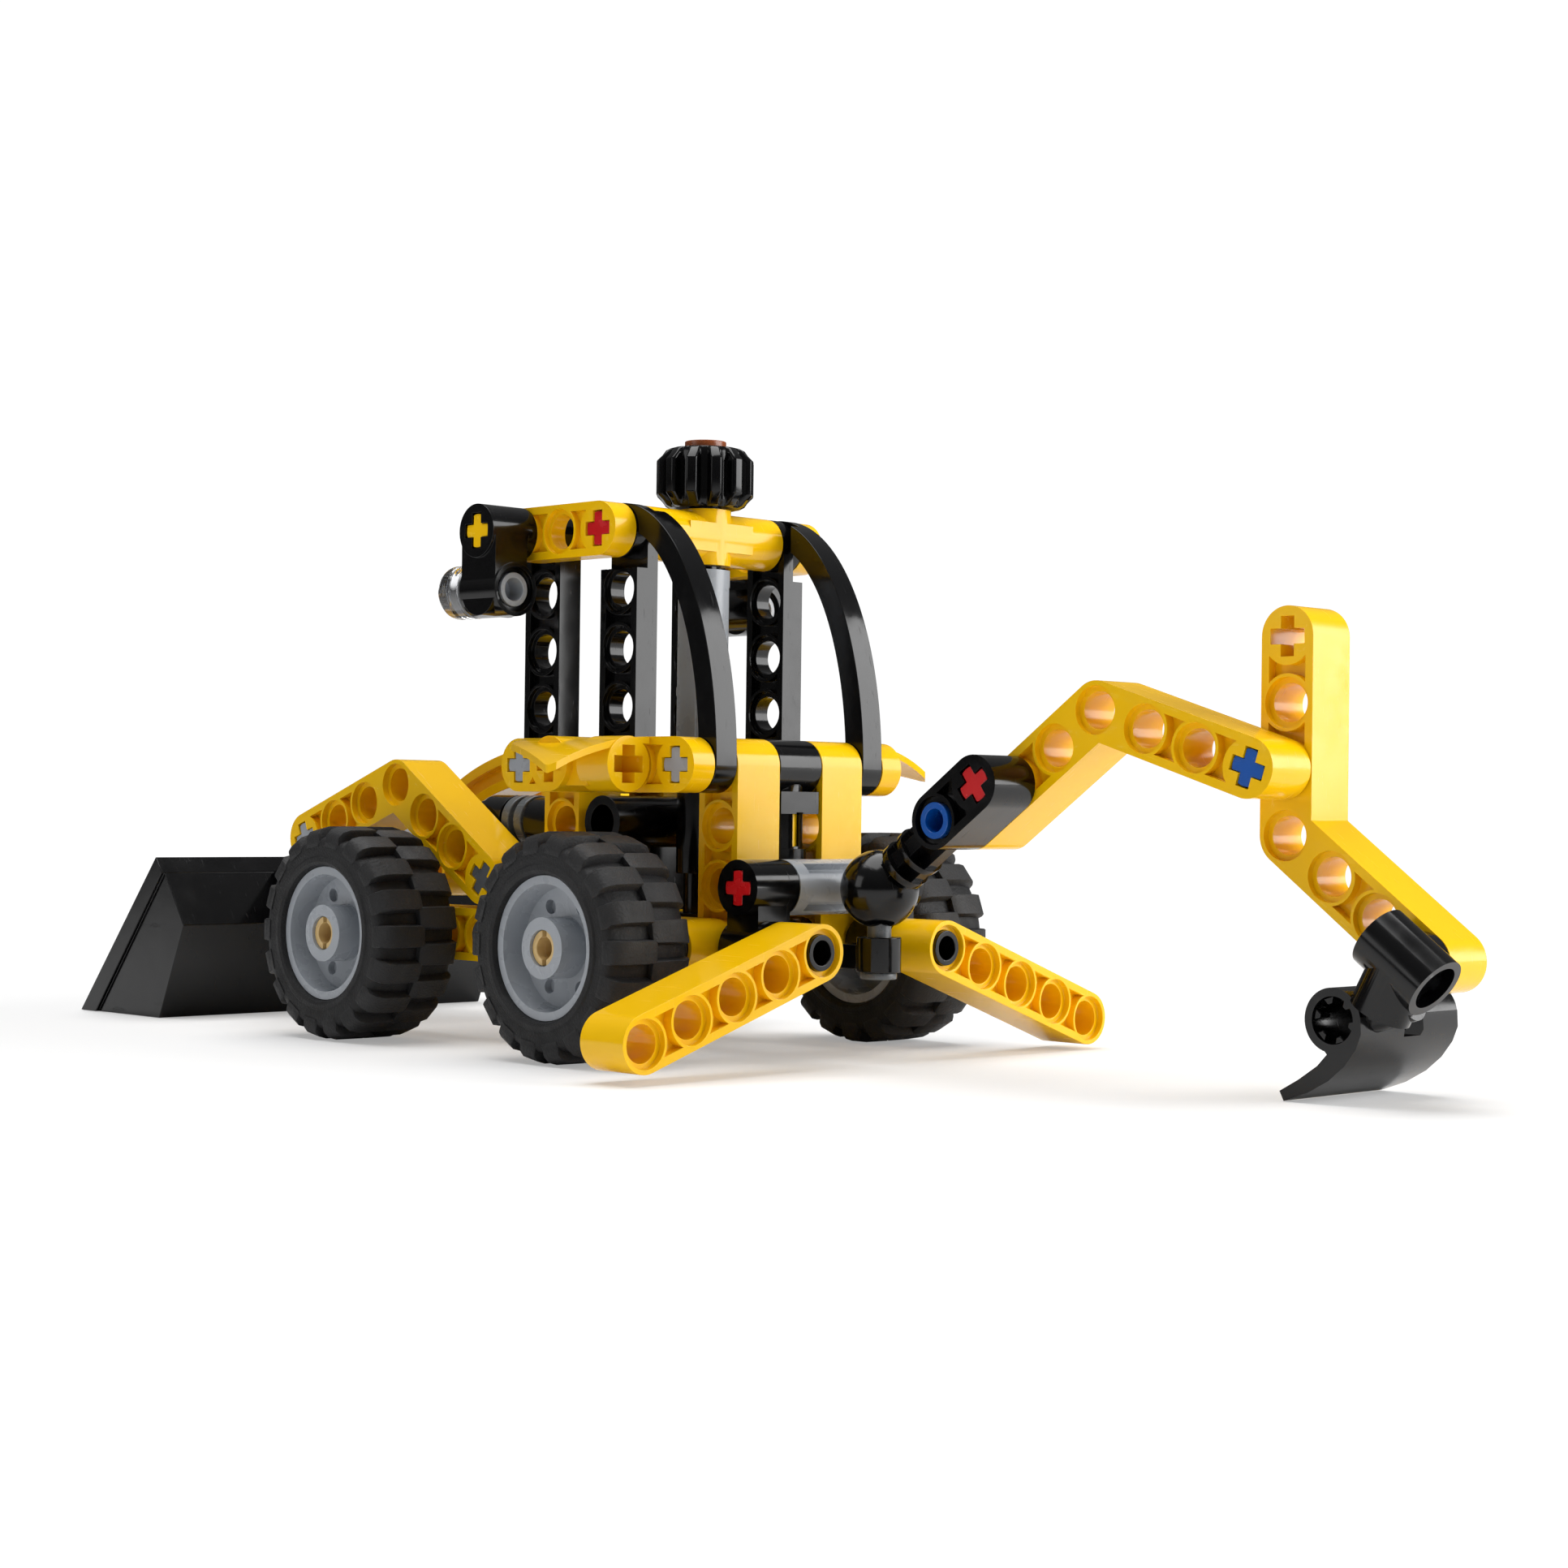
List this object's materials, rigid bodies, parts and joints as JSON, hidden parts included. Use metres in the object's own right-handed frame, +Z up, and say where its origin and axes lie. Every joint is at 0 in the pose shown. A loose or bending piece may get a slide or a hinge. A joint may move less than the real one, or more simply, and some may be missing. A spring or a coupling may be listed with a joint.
{
  "type": "toy backhoe loader",
  "caption": "Toy backhoe loader of pinned plastic beams with a tilting front shovel, swinging rear digger arm, fold-down stabilisers and rolling rubber wheels.",
  "frame": {"origin": "centre of the footprint of the whole toy on the ground", "axes": "+X towards the front shovel, +Y to the left side, +Z up"},
  "size_m": [0.2252, 0.0919, 0.0848],
  "materials": {
    "yellow_plastic": "glossy moulded plastic",
    "black_plastic": "glossy moulded plastic",
    "dark_gray_plastic": "glossy moulded plastic",
    "light_gray_plastic": "glossy moulded plastic",
    "tan_plastic": "glossy moulded plastic",
    "red_plastic": "glossy moulded plastic",
    "blue_plastic": "glossy moulded plastic",
    "brown_plastic": "glossy moulded plastic",
    "clear_plastic": "clear glossy plastic",
    "tyre_rubber": "matt moulded rubber"
  },
  "bodies": {
    "chassis": {"fascia_beams": "yellow_plastic", "cab_beams": "yellow_plastic", "side_beams": "yellow_plastic", "floor_beam": "black_plastic", "pivot_posts": "black_plastic", "frame_axles": "dark_gray_plastic", "fender_axles": "light_gray_plastic", "fender_beams": "yellow_plastic", "mudguard_l": "yellow_plastic", "mudguard_r": "yellow_plastic", "front_pillars": "black_plastic", "rear_pillars": "black_plastic", "cab_arches": "black_plastic", "roof_beams": "yellow_plastic", "roof_block": "yellow_plastic", "yellow_axles": "yellow_plastic", "red_axles": "red_plastic", "lamp_blocks": "black_plastic", "lamp_pins": "light_gray_plastic", "lamp_lenses": "clear_plastic", "rear_column": "black_plastic", "cross_tube": "light_gray_plastic", "leg_blocks": "black_plastic", "leg_pins": "black_plastic", "post_bearing": "black_plastic", "hood_beam": "yellow_plastic", "engine_axles": "dark_gray_plastic", "engine_discs": "dark_gray_plastic", "engine_caps": "black_plastic", "cab_housing": "black_plastic", "wheel_pins": "tan_plastic"},
    "roof_knob": {"knob": "black_plastic", "knob_stop": "brown_plastic", "shaft_axle": "black_plastic", "shaft_tube": "light_gray_plastic", "shaft_bush": "black_plastic"},
    "wheel_fl": {"rim_fl": "light_gray_plastic", "tyre_fl": "tyre_rubber"},
    "wheel_fr": {"rim_fr": "light_gray_plastic", "tyre_fr": "tyre_rubber"},
    "wheel_rl": {"rim_rl": "light_gray_plastic", "tyre_rl": "tyre_rubber"},
    "wheel_rr": {"rim_rr": "light_gray_plastic", "tyre_rr": "tyre_rubber"},
    "loader_frame": {"loader_arms": "yellow_plastic", "arm_axle": "dark_gray_plastic", "bucket_axle": "light_gray_plastic"},
    "shovel": {"bucket_lugs": "black_plastic", "loader_bucket": "black_plastic"},
    "swing_stud": {"ball_stud": "dark_gray_plastic"},
    "boom_arm": {"boom_foot": "black_plastic", "boom": "yellow_plastic", "boom_pins": "blue_plastic", "boom_axle": "red_plastic"},
    "dipper_arm": {"dipper": "yellow_plastic", "dipper_axle": "dark_gray_plastic"},
    "digger": {"coupler": "black_plastic", "digger_bucket": "black_plastic"},
    "stabiliser_l": {"leg_l": "yellow_plastic"},
    "stabiliser_r": {"leg_r": "yellow_plastic"}
  },
  "joints": [
    {"name": "wheel_spin_fl", "type": "hinge", "parent": "chassis", "child": "wheel_fl", "pos_m": [0.04264, 0.029, 0.0152], "axis": [0, 1, 0], "continuous": true},
    {"name": "wheel_spin_fr", "type": "hinge", "parent": "chassis", "child": "wheel_fr", "pos_m": [0.04264, -0.029, 0.0152], "axis": [0, 1, 0], "continuous": true},
    {"name": "wheel_spin_rl", "type": "hinge", "parent": "chassis", "child": "wheel_rl", "pos_m": [-0.00536, 0.029, 0.0152], "axis": [0, 1, 0], "continuous": true},
    {"name": "wheel_spin_rr", "type": "hinge", "parent": "chassis", "child": "wheel_rr", "pos_m": [-0.00536, -0.029, 0.0152], "axis": [0, 1, 0], "continuous": true},
    {"name": "knob_turn", "type": "hinge", "parent": "chassis", "child": "roof_knob", "pos_m": [0.00264, 0, 0.0728], "axis": [0, 0, 1], "continuous": true},
    {"name": "loader_lift", "type": "hinge", "parent": "chassis", "child": "loader_frame", "pos_m": [0.02664, 0, 0.0232], "axis": [0, -1, 0], "range_deg": [0, 45]},
    {"name": "shovel_tilt", "type": "hinge", "parent": "loader_frame", "child": "shovel", "pos_m": [0.06928, 0, 0.02823], "axis": [0, -1, 0], "range_deg": [-45, 45]},
    {"name": "backhoe_swing", "type": "hinge", "parent": "chassis", "child": "swing_stud", "pos_m": [-0.03176, 0, 0.0152], "axis": [0, 0, 1], "range_deg": [-30, 30]},
    {"name": "boom_lift", "type": "hinge", "parent": "swing_stud", "child": "boom_arm", "pos_m": [-0.03176, 0, 0.0232], "axis": [0, 1, 0], "range_deg": [0, 30]},
    {"name": "dipper_turn", "type": "hinge", "parent": "boom_arm", "child": "dipper_arm", "pos_m": [-0.08695, -0.016, 0.03914], "axis": [0, 1, 0], "range_deg": [-45, 60]},
    {"name": "digger_curl", "type": "hinge", "parent": "dipper_arm", "child": "digger", "pos_m": [-0.10615, -0.012, 0.01674], "axis": [0, -1, 0], "range_deg": [-60, 25]},
    {"name": "stabiliser_lift_l", "type": "hinge", "parent": "chassis", "child": "stabiliser_l", "pos_m": [-0.02936, 0.012, 0.0152], "axis": [1, 0, 0], "range_deg": [0, 80]},
    {"name": "stabiliser_lift_r", "type": "hinge", "parent": "chassis", "child": "stabiliser_r", "pos_m": [-0.02936, -0.012, 0.0152], "axis": [-1, 0, 0], "range_deg": [0, 80]}
  ]
}
